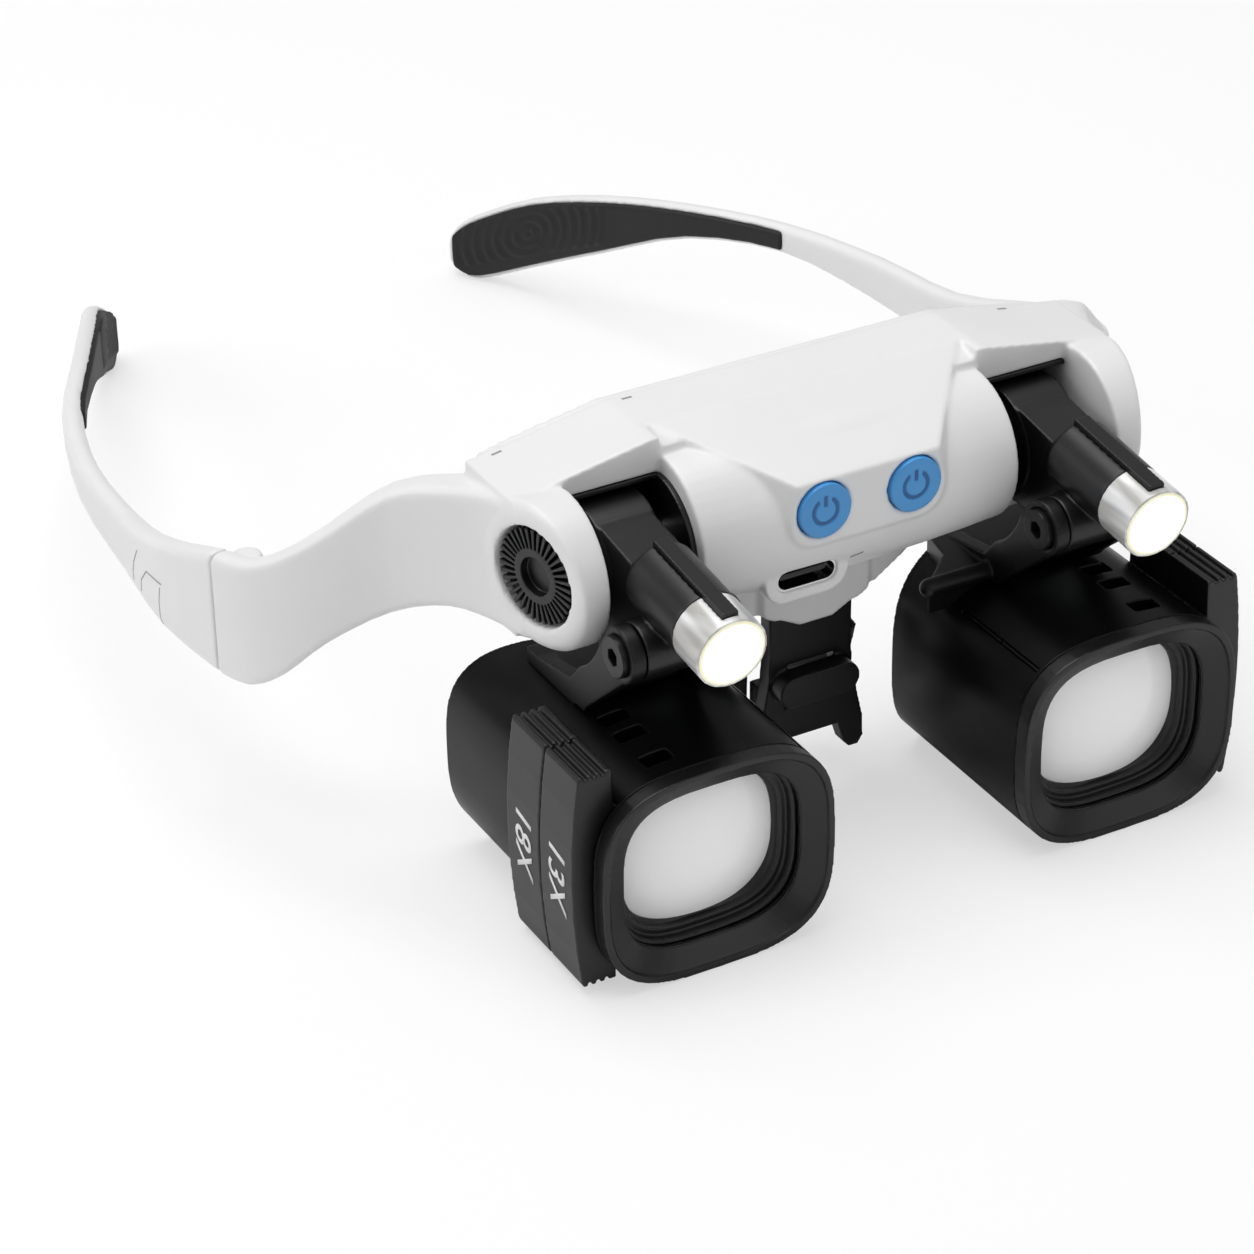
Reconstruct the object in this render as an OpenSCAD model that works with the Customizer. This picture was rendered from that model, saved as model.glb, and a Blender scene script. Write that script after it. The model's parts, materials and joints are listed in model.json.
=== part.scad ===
// Lighted magnifier worn like spectacles: two flip-up barrels with slide-in lenses,
// a lamp over each barrel, and a white housing with folding temple arms.
// Every piece is drawn from the hinge rod's axis: x across the face, y to the rear, z up.
// Left is the side at negative x, which is on the left when seen from the front.

/* [Fit on the head] */
// Distance between the two lens axes
lens_spacing = 62; // [60:0.5:64]
// Overall width over the temple hinges
frame_width = 139.3; // [134:1:145]
// Length of a temple arm from its seam to its tip
temple_length = 132.9; // [120:1:145]
// How far each temple arm sweeps in toward the head
temple_sweep = 36.8; // [30:1:42]
// Distance from the top of a temple hinge up to the rod axis
hinge_fall = 8.2; // [7:0.1:10]
// Height of a temple arm at its hinge
temple_h = 18.5; // [17:0.5:20]
// Thickness of a temple arm
temple_t = 3.4; // [3:0.1:4]

/* [Barrels] */
// Width of a lens barrel
barrel_w = 33.3; // [32:0.1:34]
// Height of a lens barrel
barrel_h = 29.8; // [29:0.1:31]
// Height of the hinge rod above the barrel axis
barrel_drop = 32.1; // [31.5:0.1:34]
// Length of the barrel ahead of its rod plane, without the front rim
barrel_front = 25; // [25:0.1:26]
// Length of the barrel behind the rod plane at its outer side
barrel_rear = 16.8; // [14:0.1:18]
// Thickness of the front rim
bezel_t = 2.4; // [2:0.1:3]
// Width of the front opening
opening_w = 25.5; // [24:0.1:26]
// Height of the front opening
opening_h = 22.6; // [21:0.1:23]
// Width of a lens, a rounded square like its barrel
lens_w = 21.6; // [20:0.1:22]
// Height of a lens
lens_h = 19.2; // [18:0.1:19.6]
// Thickness of one lens cassette along the barrel
cassette_t = 8.5; // [8:0.1:8.7]
// Height of a cassette's body inside the barrel
cassette_h = 24; // [23.6:0.1:24.6]

/* [Hinges] */
// Diameter of the hinge rods
rod_d = 6; // [5:0.1:6.4]
// Diameter of the lamp arm's knuckle on the rod
knuckle_d = 15; // [14.4:0.1:15.6]
// Width of the knuckle
knuckle_w = 8.4; // [8:0.1:8.8]
// Diameter of the barrel's pivot hub under the lamp
hub_d = 7.6; // [7:0.1:8]
// Width of the pivot hub
hub_w = 12.2; // [11.4:0.1:12.4]
// Diameter of the pivot screw
pivot_d = 3.1; // [2.6:0.1:3.4]
// Radial running clearance of pins and shafts
run_gap = 0.05; // [0.03:0.01:0.08]

/* [Lamps] */
// Diameter of a lamp
lamp_d = 9.76; // [9.2:0.02:10]
// How far a lamp's face stands ahead of the rod axis
lamp_reach = 30.2; // [29:0.1:32]
// Downward tilt of a lamp
lamp_tilt = 6.8; // [5:0.1:8]
// Length of the clear lamp head
lamp_head_l = 6; // [5:0.1:7]

/* [Housing] */
// Distance from a lens axis in to the inner wall of its recess
recess_in = 7.5; // [7.2:0.1:7.6]
// Width of the recess that a knuckle turns in
recess_w = 14.1; // [13.8:0.1:14.4]
// Radius of the housing's rounded middle
mid_r = 11.2; // [10.8:0.1:11.4]
// Radius of the rounded end lobes
lobe_r = 10.3; // [10:0.1:10.6]
// Depth of the housing behind the rod axis, without its rear cover
block_rear = 13; // [12.8:0.1:13.6]
// Thickness of the rear cover
cover_t = 1.8; // [1.5:0.1:2.2]
// Diameter of the two push buttons
button_d = 7.5; // [7:0.1:8]
// Distance between the push buttons
button_pitch = 13.4; // [12.6:0.1:14]
// Travel of a push button
button_travel = 0.5; // [0.3:0.1:0.5]
// Diameter of the ribbed side dials
dial_d = 13.2; // [12.6:0.1:13.4]
// Number of ribs on a side dial
dial_ribs = 36; // [28:1:40]

/* [Hidden] */
$fn = 48;

// Overall places, all measured from the rod axis
axis_x = lens_spacing / 2;
rod_z = barrel_h / 2 + barrel_drop;
seam_y = 38.4;
seam_gap = 0.3;
tip_y = seam_y + seam_gap + temple_length;
lamp_nose = lamp_reach + lamp_d / 2 * sin(lamp_tilt);
mid_y = (tip_y - lamp_nose) / 2;
hinge_x = frame_width / 2;
hinge_top = -hinge_fall;
hinge_low = hinge_top - temple_h;
hinge_mid = hinge_top - temple_h / 2;
pin_x = hinge_x - temple_t - 2;
leaf_r = 2.1;
pin_r = 1;

// Housing
mid_half = axis_x - recess_in;
mid_z = 1;
mid_end_r = mid_r - 0.8;
block_top = 14;
block_low = -11;
lobe_y = -2;
recess_x0 = mid_half;
recess_x1 = mid_half + recess_w;
recess_r = 9.15;
recess_y = 0.3;
face_y = -mid_r - 0.3;
face_half = 11.4;
face_low = -0.5;
deck_z = 8.7;
deck_rear = 4.4;
wing_x = recess_x1 + 7;
cover_half = wing_x - 2.6;
cavity_r = 9.2;
cavity_half = mid_half - 4;
cavity_z0 = -8;
cavity_z1 = 11;
button_z = 4.5;
button_proud = 0.5;
cap_l = 3.3;
flange_t = 0.8;
board_y = -3.5;
board_t = 1.2;
board_half = mid_half - 5.5;
board_low = -3;
board_high = 7.8;
switch_t = 2.5;
switch_w = 6;
plunger = 0.5;
post_x = mid_half - 8;
dial_tilt = 15;
dial_x = recess_x1 + 6.4;
dial_y = -3.5;
dial_z = 1.6;
pocket_depth = 2.5;
pocket_d = dial_d + 0.6;
rod_x0 = mid_half - 3.6;
rod_x1 = recess_x1 + 1.5;
axle_l = 2.4;

// Connector, charging board and nose piece
bowl_half = 9.3;
bowl_low = -20;
bowl_front = 0.8;
bowl_rear = 11.5;
usb_x = -7.7;
usb_y = -9.3;
usb_z = -5.9;
usb_w = 8.94;
usb_h = 3.16;
usb_l = 7.3;
boss_wall = 1.7;
charge_z = usb_z + usb_h / 2;
charge_t = 1;
bridge_t = 2.6;
bridge_y = bowl_front + 1.4;
bridge_half = 6.4;
bridge_top = bowl_low + 2.2;
bridge_low = -42.3;
nose_z = -32;
nose_r = 7.4;

// Lamp arm and pivot
hub_y = -16.8;
hub_z = -4.1;
ear_t = 2;
ear_gap = 0.2;
sleeve_r = knuckle_d / 2 - 3.3;
collar_t = 0.35;
pivot_head_d = 5.5;
lamp_z = 0.7;
lamp_body_l = 11.6;
arm_half = knuckle_w / 2 - 0.3;
wire_w = 2.2;
wire_deep = 1.3;
ear_in = hub_w / 2 + ear_gap;
ear_out = ear_in + ear_t;
lip_r = 1.3;
lip_x = 17.5;
flip_room = lobe_r + norm([lobe_y, mid_z]) + 0.3;

// Barrel and cassettes
barrel_z = -barrel_drop;
barrel_top = barrel_z + barrel_h / 2;
squircle_n = 3.2;
fit = 0.3;
rear_inner = 4.6;
rim_edge = 1.8;
rim_deep = 1.9;
cassette_front = -barrel_front + 0.7;
slot_y0 = cassette_front - fit;
slot_y1 = cassette_front + 2 * cassette_t + 2 * fit;
step_w = lens_w + 3;
step_h = lens_h + 3;
cassette_in = step_w / 2 + 0.7;
slot_in = cassette_in + fit;
head_out = barrel_w / 2 + 2.7;
head_top = barrel_h / 2 + 2.5;
head_low = -barrel_h / 2 + 1.3;
cassette_rear = cassette_front + cassette_t + fit;
latch_rows = [cassette_front + 2, cassette_front + cassette_t, cassette_front + 1.5 * cassette_t];
lens_half = 3.8;

// Rear cover screws, by x and z
screw_spots = [[-mid_half + 2, -6], [mid_half - 2, -6], [-wing_x + 5.5, 5.5], [wing_x - 5.5, 5.5]];
screw_r = 1;
screw_l = 7;
screw_head_r = 2;

// Battery cell
cell_w = 30;
cell_h = 16;
cell_t = 5;

// Side wing: share of the way out, share of the way back, top, bottom and thickness
wing_shares = [
    [0, 0, block_top - 3.3, block_low + 2.7, 6], [0.048, 0.153, block_top - 4, block_low + 2.4, 6.5],
    [0.168, 0.316, block_top - 5.5, block_low + 2.1, 6], [0.355, 0.484, block_top - 8.1, block_low - 0.8, 5],
    [0.627, 0.629, hinge_top + 7.3, hinge_low + 9.3, 4], [0.811, 0.744, hinge_top + 3, hinge_low + 3.5, temple_t],
    [0.93, 0.855, hinge_top + 0.9, hinge_low + 0.6, temple_t], [1, 1, hinge_top, hinge_low, temple_t]
];
wing_y = -1.5;
wing_rows = [for (q = wing_shares)
    [wing_x + q[0] * (hinge_x - wing_x), wing_y + q[1] * (seam_y - wing_y), q[2], q[3], q[4]]];

// Temple arm: share of its length, share of its sweep, share of its drop, height
arm_shares = [
    [0, 0, 0, temple_h], [0.11, -0.04, 0.086, 13.7], [0.248, 0.015, 0.201, 9.2],
    [0.397, 0.061, 0.213, 6.9], [0.537, 0.199, 0.201, 4.8], [0.662, 0.419, 0.259, 5.9],
    [0.777, 0.615, 0.425, 10.2], [0.882, 0.777, 0.618, 12.6], [0.959, 0.913, 0.797, 12],
    [0.987, 0.97, 0.841, 9], [1, 1, 0.854, 5]
];
arm_drop = rod_z + hinge_mid;
arm_rows = [for (q = arm_shares) let (z = hinge_mid - q[2] * arm_drop)
    [hinge_x - q[1] * temple_sweep, seam_y + seam_gap + q[0] * temple_length, z + q[3] / 2, z - q[3] / 2,
     temple_t - 0.6 * q[0]]];
grip_t = 0.9;
arm_curve = spline(arm_rows, 3);
grip_first = 12;
grip_last = len(arm_curve) - 3;

// Helpers
module about_origin() translate([0, -mid_y, rod_z]) children();
module side(s) mirror([s < 0 ? 1 : 0, 0, 0]) children();
module at_axis(s) translate([s * axis_x, 0, 0]) children();
module along_y(y0, y1) translate([0, y1, 0]) rotate([90, 0, 0]) linear_extrude(y1 - y0) children();
module along_x(x0, x1) translate([x0, 0, 0]) rotate([90, 0, 90]) linear_extrude(x1 - x0) children();
module rod_x(x0, x1, r) translate([x0, 0, 0]) rotate([0, 90, 0]) cylinder(r = r, h = x1 - x0);
module rod_y(y0, y1, r) translate([0, y1, 0]) rotate([90, 0, 0]) cylinder(r = r, h = y1 - y0);
module box(lo, hi) translate(lo) cube(hi - lo);

function squircle(w, h, n = squircle_n, steps = 48) = [
    for (i = [0 : steps - 1])
        let (c = cos(360 * i / steps), s = sin(360 * i / steps))
        [w / 2 * sign(c) * pow(abs(c), 2 / n), h / 2 * sign(s) * pow(abs(s), 2 / n)]
];

function bend(a, b, c, d, t) =
    0.5 * (2 * b + (c - a) * t + (2 * a - 5 * b + 4 * c - d) * t * t
    + (3 * b - a - 3 * c + d) * t * t * t);

// A smooth curve through the rows of p, with k steps between neighbours
function spline(p, k) = concat(
    [for (i = [0 : len(p) - 2]) for (j = [0 : k - 1])
        bend(p[max(i - 1, 0)], p[i], p[i + 1], p[min(i + 2, len(p) - 1)], j / k)],
    [p[len(p) - 1]]);

// Cross-section of a curved strip: p is [x, y, top, bottom, thickness], with x, y on its outer face.
// The ring runs from depth d0 to depth d1 under that face and stays in by rim at top and bottom.
function strip_ring(p, along, r, d0, d1, rim) =
    let (l = norm(along), out = [along.y / l, -along.x / l],
         e = min(r, (p[2] - p[3]) / 2.2 - rim, (d1 - d0) / 2.2))
    [for (k = [0 : 3]) for (a = [0 : 45 : 90])
        let (u = (k == 0 || k == 3) ? -d0 - e : e - d1, v = k < 2 ? p[2] - rim - e : p[3] + rim + e,
             w = u + e * cos(90 * k + a), q = v + e * sin(90 * k + a))
        [p.x + out.x * w, p.y + out.y * w, q]];

// A solid through rings of points, closed by a flat cap at each end
module loft(rings) {
    n = len(rings);
    m = len(rings[0]);
    polyhedron(
        points = [for (ring = rings) for (q = ring) q],
        faces = concat(
            [[for (j = [m - 1 : -1 : 0]) j]],
            [[for (j = [0 : m - 1]) (n - 1) * m + j]],
            [for (i = [0 : n - 2]) for (j = [0 : m - 1])
                [i * m + j, i * m + (j + 1) % m, (i + 1) * m + j]],
            [for (i = [0 : n - 2]) for (j = [0 : m - 1])
                [(i + 1) * m + j, i * m + (j + 1) % m, (i + 1) * m + (j + 1) % m]]),
        convexity = 4);
}

// A strip along rows first to last, from depth d0 to its own thickness plus over
module strip(rows, r, first = 0, last = -1, d0 = 0, over = 0, rim = 0) {
    n = len(rows);
    loft([for (i = [first : last < 0 ? n - 1 : last])
        let (a = rows[max(i - 1, 0)], b = rows[min(i + 1, n - 1)])
        strip_ring(rows[i], [b.x - a.x, b.y - a.y], r, d0 < 0 ? rows[i][4] + d0 : d0, rows[i][4] + over, rim)]);
}

// Housing: a rounded middle, two end lobes, a raised front with the buttons, and two side wings
module dial_frame() {
    translate([dial_x, dial_y, dial_z]) rotate([0, 0, -dial_tilt]) rotate([0, -90, 0]) children();
}

module shell_middle() {
    rotate([0, 90, 0]) translate([-mid_z, 0, 0]) rotate_extrude()
        polygon(concat([[0, -mid_half], [0, mid_half]],
            [for (i = [4 : -1 : -4]) [mid_r + (mid_end_r - mid_r) * pow(i / 4, 2), mid_half * i / 4]]));
}

module shell_block() difference() {
    along_y(recess_y, block_rear) polygon([
        [-wing_x, block_low + 2.4], [-recess_x1, block_low], [recess_x1, block_low],
        [wing_x, block_low + 2.4], [wing_x, block_top - 3.4], [recess_x1, block_top - 2.3],
        [mid_half + 1, block_top], [-mid_half - 1, block_top], [-recess_x1, block_top - 2.3],
        [-wing_x, block_top - 3.4]]);
    along_x(-mid_half, mid_half) polygon([
        [face_y, deck_z - 0.1], [deck_rear, block_top - 0.1], [deck_rear + 0.4, block_top + 0.05],
        [deck_rear + 0.4, block_top + 3], [face_y, block_top + 3]]);
}

// The raised front slopes down from the top of the block to the flat face that holds the buttons
module shell_raised_front() {
    hull() {
        along_y(face_y, face_y + 0.4) {
            for (t = [-1, 1]) translate([t * (face_half - 4), face_low + 4]) circle(4, $fn = 32);
            translate([0, deck_z - 2]) square([2 * face_half - 2, 4], center = true);
        }
        along_y(deck_rear - 0.4, deck_rear)
            translate([0, block_top - 3.95]) square([2 * mid_half - 1, 8], center = true);
        along_y(-2, -1.6) square([2 * mid_half - 8, 12], center = true);
    }
}

// Fairing that leads from the middle's ends down to the nose piece's bowl
module chin() along_y(bowl_front + 0.8, bowl_rear - 3.5) polygon([
    [-mid_half, -7.5], [-mid_half, 0], [mid_half, 0], [mid_half, -7.5],
    [bowl_half, bowl_low + 2.8], [-bowl_half, bowl_low + 2.8]]);

module shell_lobe() {
    intersection() {
        translate([0, lobe_y, mid_z]) rod_x(recess_x1, recess_x1 + 12, lobe_r);
        dial_frame() rotate_extrude() polygon(concat([[0, 0]],
            [for (a = [0 : 15 : 90]) [lobe_r - 2.6 + 3 * sin(a), 3 - 3 * cos(a)]],
            [[lobe_r + 0.4, 14], [0, 14]]));
    }
}

module shell_wing() strip(spline(wing_rows, 3), 1.2);

module usb_bowl() {
    intersection() {
        along_y(bowl_front, bowl_rear) polygon(concat(
            [[bowl_half, -7], [-bowl_half, -7]],
            [for (a = [180 : 15 : 270]) [4 - bowl_half + 4 * cos(a), bowl_low + 6 + 4.5 * sin(a)]],
            [[-2.5, bowl_low], [2.5, bowl_low]],
            [for (a = [270 : 15 : 360]) [bowl_half - 4 + 4 * cos(a), bowl_low + 6 + 4.5 * sin(a)]]));
        translate([0, 0, bowl_low - 1]) linear_extrude(30) polygon([
            [-bowl_half - 1, bowl_rear + 1], [-bowl_half - 1, bowl_front + 2], [-bowl_half + 1.6, bowl_front - 0.2],
            [bowl_half - 1.6, bowl_front - 0.2], [bowl_half + 1, bowl_front + 2], [bowl_half + 1, bowl_rear + 1]]);
    }
}

// Raised collar round the charging port, on the belly of the housing
module port_collar() port_place() usb_slot(usb_w + 2 * boss_wall, usb_h + 2 * boss_wall, 0, usb_l - 1);

module port_place() translate([usb_x, usb_y, usb_z]) children();

module usb_slot(w, h, y0, y1) {
    for (s = [-1, 1]) translate([s * (w - h) / 2, 0, 0]) rod_y(y0, y1, h / 2);
    box([-(w - h) / 2, y0, -h / 2], [(w - h) / 2, y1, h / 2]);
}

module hinge_leaf(z0, z1) translate([pin_x, seam_y, 0]) {
    translate([0, 0, z0]) cylinder(r = leaf_r, h = z1 - z0);
    box([0, -4, z0], [2.6, -0.6, z1]);
}

module front_shell() color("white") about_origin() {
    difference() {
        union() {
            shell_middle();
            shell_block();
            shell_raised_front();
            usb_bowl();
            chin();
            port_collar();
            for (s = [-1, 1]) side(s) {
                shell_lobe();
                shell_wing();
                hinge_leaf(hinge_top - 4.4, hinge_top - 1.4);
                hinge_leaf(hinge_low + 1.4, hinge_low + 4.4);
            }
        }
        for (s = [-1, 1]) side(s) {
            box([recess_x0, -20, -15], [recess_x1, recess_y, 20]);
            rod_x(recess_x0, recess_x1, recess_r);
            rod_x(rod_x0, rod_x1, rod_d / 2);
            dial_frame() {
                translate([0, 0, -1]) cylinder(d = pocket_d, h = pocket_depth + 1);
                cylinder(r = 2 + run_gap, h = 1.5 + axle_l + 0.3);
            }
            translate([pin_x, seam_y, hinge_low]) cylinder(r = pin_r + run_gap, h = temple_h - 2.4);
            translate([pin_x, seam_y, hinge_low + 4.4]) cylinder(r = leaf_r + seam_gap, h = temple_h - 8.8);
            box([pin_x + leaf_r, seam_y, hinge_low - 1], [hinge_x + 1, seam_y + 2, hinge_top + 1]);
            translate([button_pitch / 2, 0, button_z]) {
                rod_y(-20, 0, button_d / 2 + 0.1);
                rod_y(face_y + cap_l - button_proud - 0.3, 0, button_d / 2 + 1.1);
            }
        }
        difference() {
            translate([0, 0, mid_z]) rod_x(-cavity_half, cavity_half, cavity_r);
            for (s = [-1, 1]) translate([s * post_x, 0, mid_z]) rod_y(-mid_r + 1, board_y, 1.8);
        }
        box([-cavity_half, 0, cavity_z0], [cavity_half, block_rear + 1, cavity_z1]);
        port_place() usb_slot(usb_w, usb_h, -1, usb_l + 0.6);
        box([-bridge_half - 0.2, bridge_y, bowl_low - 1], [bridge_half + 0.2, bridge_y + bridge_t, bridge_top + 0.3]);
        for (p = screw_spots) translate([p.x, 0, p.y]) rod_y(block_rear - screw_l + cover_t, block_rear + 1, screw_r);
    }
}

module rear_cover() color("whitesmoke") about_origin() {
    difference() {
        along_y(block_rear, block_rear + cover_t) polygon([
            [-cover_half, block_low + 2.6], [-recess_x1, block_low + 0.6], [recess_x1, block_low + 0.6],
            [cover_half, block_low + 2.6], [cover_half, block_top - 4], [recess_x1, block_top - 2.9],
            [mid_half + 1, block_top - 0.6], [-mid_half - 1, block_top - 0.6],
            [-recess_x1, block_top - 2.9], [-cover_half, block_top - 4]]);
        for (p = screw_spots) translate([p.x, 0, p.y]) {
            rod_y(block_rear - 1, block_rear + 3, screw_r + 0.1);
            rod_y(block_rear + cover_t - 1, block_rear + 3, screw_head_r + 0.1);
        }
    }
}

module cover_screws() color("silver") about_origin() {
    for (p = screw_spots) translate([p.x, 0, p.y]) difference() {
        union() {
            rod_y(block_rear - screw_l + cover_t, block_rear + 1, screw_r);
            rod_y(block_rear + cover_t - 1, block_rear + cover_t - 0.1, screw_head_r);
        }
        for (a = [0, 90]) translate([0, block_rear + cover_t, 0]) rotate([0, a, 0])
            cube([1.3 * screw_head_r, 0.8, 0.6], center = true);
    }
}

module battery_cell() color("silver") about_origin()
    box([-cell_w / 2, block_rear - cell_t, mid_z - cell_h / 2], [cell_w / 2, block_rear, mid_z + cell_h / 2]);

module circuit_board() color("darkgreen") about_origin() {
    box([-board_half, board_y, board_low], [board_half, board_y + board_t, board_high]);
    box([-4, board_y + board_t, 0], [2, board_y + board_t + 1, 5]);
    box([6, board_y + board_t, 0], [11, board_y + board_t + 1.2, 4]);
}

module tact_switches() color("dimgray") about_origin() {
    for (s = [-1, 1]) translate([s * button_pitch / 2, 0, button_z]) {
        box([-switch_w / 2, board_y - switch_t, -switch_w / 2], [switch_w / 2, board_y, switch_w / 2]);
        rod_y(board_y - switch_t - plunger, board_y - switch_t, 1.5);
    }
}

module charge_board() color("darkgreen") about_origin() translate([usb_x, 0, charge_z]) {
    box([-usb_w / 2 - 1, usb_y + 3.3, 0], [usb_w / 2 + 1, block_rear - cell_t - 3, charge_t]);
    box([-1.5, 0, charge_t], [1.5, 3, charge_t + 1]);
}

module usb_shell() color("gainsboro") about_origin() port_place() difference() {
    usb_slot(usb_w, usb_h, 0.3, usb_l + 0.3);
    usb_slot(usb_w - 0.6, usb_h - 0.6, -1, usb_l - 0.4);
}

module usb_tongue() color("black") about_origin() port_place()
    box([-3.34, 1.2, -0.35], [3.34, usb_l - 0.4, 0.35]);

// The button has a cap, a flange that keeps it in and a stem over the switch
module power_button(s) color("dodgerblue") about_origin() translate([s * button_pitch / 2, 0, button_z]) {
    translate([0, face_y - button_proud, 0]) {
        difference() {
            rod_y(0, cap_l, button_d / 2);
            difference() {
                rod_y(-1, 0.3, 2);
                rod_y(-2, 1, 1.5);
                box([-0.9, -2, 0], [0.9, 1, 3]);
            }
            box([-0.25, -0.4, 0.6], [0.25, 0.3, 2.2]);
        }
        rod_y(cap_l - 0.1, cap_l + flange_t - 0.1, button_d / 2 + 0.7);
    }
    rod_y(face_y - button_proud + cap_l + flange_t - 0.2, board_y - switch_t - plunger - button_travel - 0.1, 1.2);
}

module bridge_leg() {
    along_y(bridge_y, bridge_y + bridge_t) polygon([
        [3.2, bridge_top], [bridge_half, bridge_top], [6.2, -24], [6.5, -29], [7.4, -34], [8.3, -38],
        [8.4, bridge_low + 1.3], [7.6, bridge_low], [6.2, bridge_low], [5.4, bridge_low + 0.9],
        [4.2, -37.5], [4.2, -30], [3.6, -26]]);
}

module nose_bridge() color("black") about_origin() {
    for (s = [-1, 1]) side(s) bridge_leg();
    along_y(bridge_y, bridge_y + bridge_t)
        polygon([[-bridge_half, bridge_top], [bridge_half, bridge_top], [6, -26.5], [-6, -26.5]]);
    along_y(bridge_y, bridge_y + bridge_t)
        polygon(concat([[-5.2, -38], [5.2, -38]], [for (a = [0 : 15 : 180]) [4.6 * cos(a), -34.4 + 2.2 * sin(a)]]));
    translate([0, bridge_y + 0.4, -29.4]) {
        for (s = [-1, 1]) translate([s * 3.8, 0, 0]) rod_y(-3, 0, 2.3);
        box([-3.8, -3, -2.3], [3.8, 0, 2.3]);
    }
    for (s = [-1, 1]) side(s) 
        box([4.6, bridge_y + bridge_t - 0.2, nose_z - 1.5], [6.6, bridge_y + bridge_t + 2.4, nose_z + 1.5]);
}

module nose_pads() color("dimgray") about_origin() for (s = [-1, 1]) side(s)
    translate([6.6, bridge_y + bridge_t + nose_r - 1, nose_z]) rotate([12, 0, 26]) difference() {
        intersection() {
            rod_x(-1.5, 1.5, nose_r);
            box([-2, -4, -8], [2, 4, 8]);
        }
        translate([2.4, 0, 0]) rod_y(-9, 9, 1.2);
    }

module hinge_pins() color("silver") about_origin() for (s = [-1, 1]) side(s)
    translate([pin_x, seam_y, hinge_low + 1.4]) cylinder(r = pin_r, h = temple_h - 4);

module slide_rod(s) color("silver") about_origin() side(s) rod_x(rod_x0, rod_x1, rod_d / 2);

// Black lining of the recess: a disc on the inner wall and a trough behind the knuckle
module recess_liner(s) color("black") about_origin() side(s) difference() {
    rod_x(recess_x0, recess_x1 - 0.1, recess_r - 0.05);
    rod_x(recess_x0 + 0.8, recess_x1, recess_r - 0.85);
    rod_x(recess_x0 - 1, recess_x1, rod_d / 2 + 0.05);
    box([recess_x0 + 0.8, -12, -12], [recess_x1, recess_y, 12]);
}

function cog(n, r0, r1, share) = [
    for (i = [0 : n - 1]) for (q = [[0, r0], [0, r1], [share, r1], [share, r0]])
        let (a = 360 * (i + q[0]) / n) [q[1] * cos(a), q[1] * sin(a)]
];

module thumb_dial(s) color("black") about_origin() side(s) dial_frame() difference() {
    union() {
        translate([0, 0, 0.5]) linear_extrude(1.3) polygon(cog(dial_ribs, 3.4, dial_d / 2 - 0.15, 0.5));
        translate([0, 0, 1.5]) cylinder(d = dial_d, h = pocket_depth - 1.6);
        translate([0, 0, 0.5]) cylinder(r = 3.7, h = 1.2);
        translate([0, 0, 1.5]) cylinder(r = 2, h = axle_l);
    }
    cylinder(r = 2.6, h = 1.7);
}

// The sleeve slides along the rod and the lamp arm's knuckle turns on it
module slide_sleeve(s) color("dimgray") about_origin() at_axis(s) difference() {
    union() {
        rod_x(-knuckle_w / 2 - run_gap - collar_t, knuckle_w / 2 + run_gap + collar_t, sleeve_r - run_gap);
        for (t = [-1, 1]) translate([t * (knuckle_w / 2 + run_gap + collar_t / 2), 0, 0])
            rod_x(-collar_t / 2, collar_t / 2, sleeve_r + 1.2);
    }
    rod_x(-9, 9, rod_d / 2 + run_gap);
}

// Everything inside is drawn from the lamp's face, with z running back along its axis
module lamp_frame() translate([0, -lamp_reach, lamp_z]) rotate([-90 + lamp_tilt, 0, 0]) children();

module lamp_arm(s) color("black") about_origin() at_axis(s) difference() {
    union() {
        rod_x(-knuckle_w / 2, knuckle_w / 2, knuckle_d / 2);
        lamp_frame() translate([0, 0, lamp_head_l - 2]) cylinder(d = lamp_d - 1.9, h = 4);
        lamp_frame() translate([0, 0, lamp_head_l]) {
            cylinder(d = lamp_d, h = lamp_body_l);
            translate([0, 0, lamp_body_l]) cylinder(d1 = lamp_d, d2 = lamp_d - 1.6, h = 0.8);
        }
        along_x(-arm_half, arm_half) polygon([
            [-2.5, knuckle_d / 2 - 0.8], [hub_y + 3.8, lamp_z + 4.4], [hub_y - 3, lamp_z - 2.6],
            [hub_y - hub_d / 2 + 0.3, hub_z], [hub_y - 2.4, hub_z - hub_d / 2 + 1], [hub_y + 1, hub_z - hub_d / 2 + 0.2],
            [-1.5, 0.3 - knuckle_d / 2]]);
        translate([0, hub_y, hub_z]) rod_x(-hub_w / 2, hub_w / 2, hub_d / 2);
    }
    rod_x(-9, 9, sleeve_r);
    translate([0, hub_y, hub_z]) rod_x(-9, 9, pivot_d / 2 + run_gap);
    lamp_frame() translate([0, 0, -1]) cylinder(r = 3.1, h = lamp_head_l + 3);
    lamp_frame() wire_strip(0.02);
}

// The wires run under a strip along the top of the lamp
module wire_strip(grow) translate([0, -lamp_d / 2, 0])
    box([-wire_w / 2 - grow, -0.5 - grow, 1 - grow], [wire_w / 2 + grow, wire_deep + grow, 18 + grow]);

module wire_cover(s) color("black") about_origin() at_axis(s) lamp_frame() wire_strip(0);

module lamp_head(s) color("aliceblue", 0.6) about_origin() at_axis(s) lamp_frame() difference() {
    cylinder(d = lamp_d, h = lamp_head_l);
    translate([0, 0, -1]) cylinder(r = 4.1, h = 3);
    cylinder(d = lamp_d - 1.8, h = lamp_head_l + 1);
    wire_strip(0.05);
}

module lamp_lens(s) color("white") about_origin() at_axis(s) lamp_frame() difference() {
    intersection() {
        translate([0, 0, 0.2]) cylinder(d = lamp_d - 1.86, h = 1.8);
        translate([0, 0, 12]) sphere(r = 12);
    }
    wire_strip(0.05);
}

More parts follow.
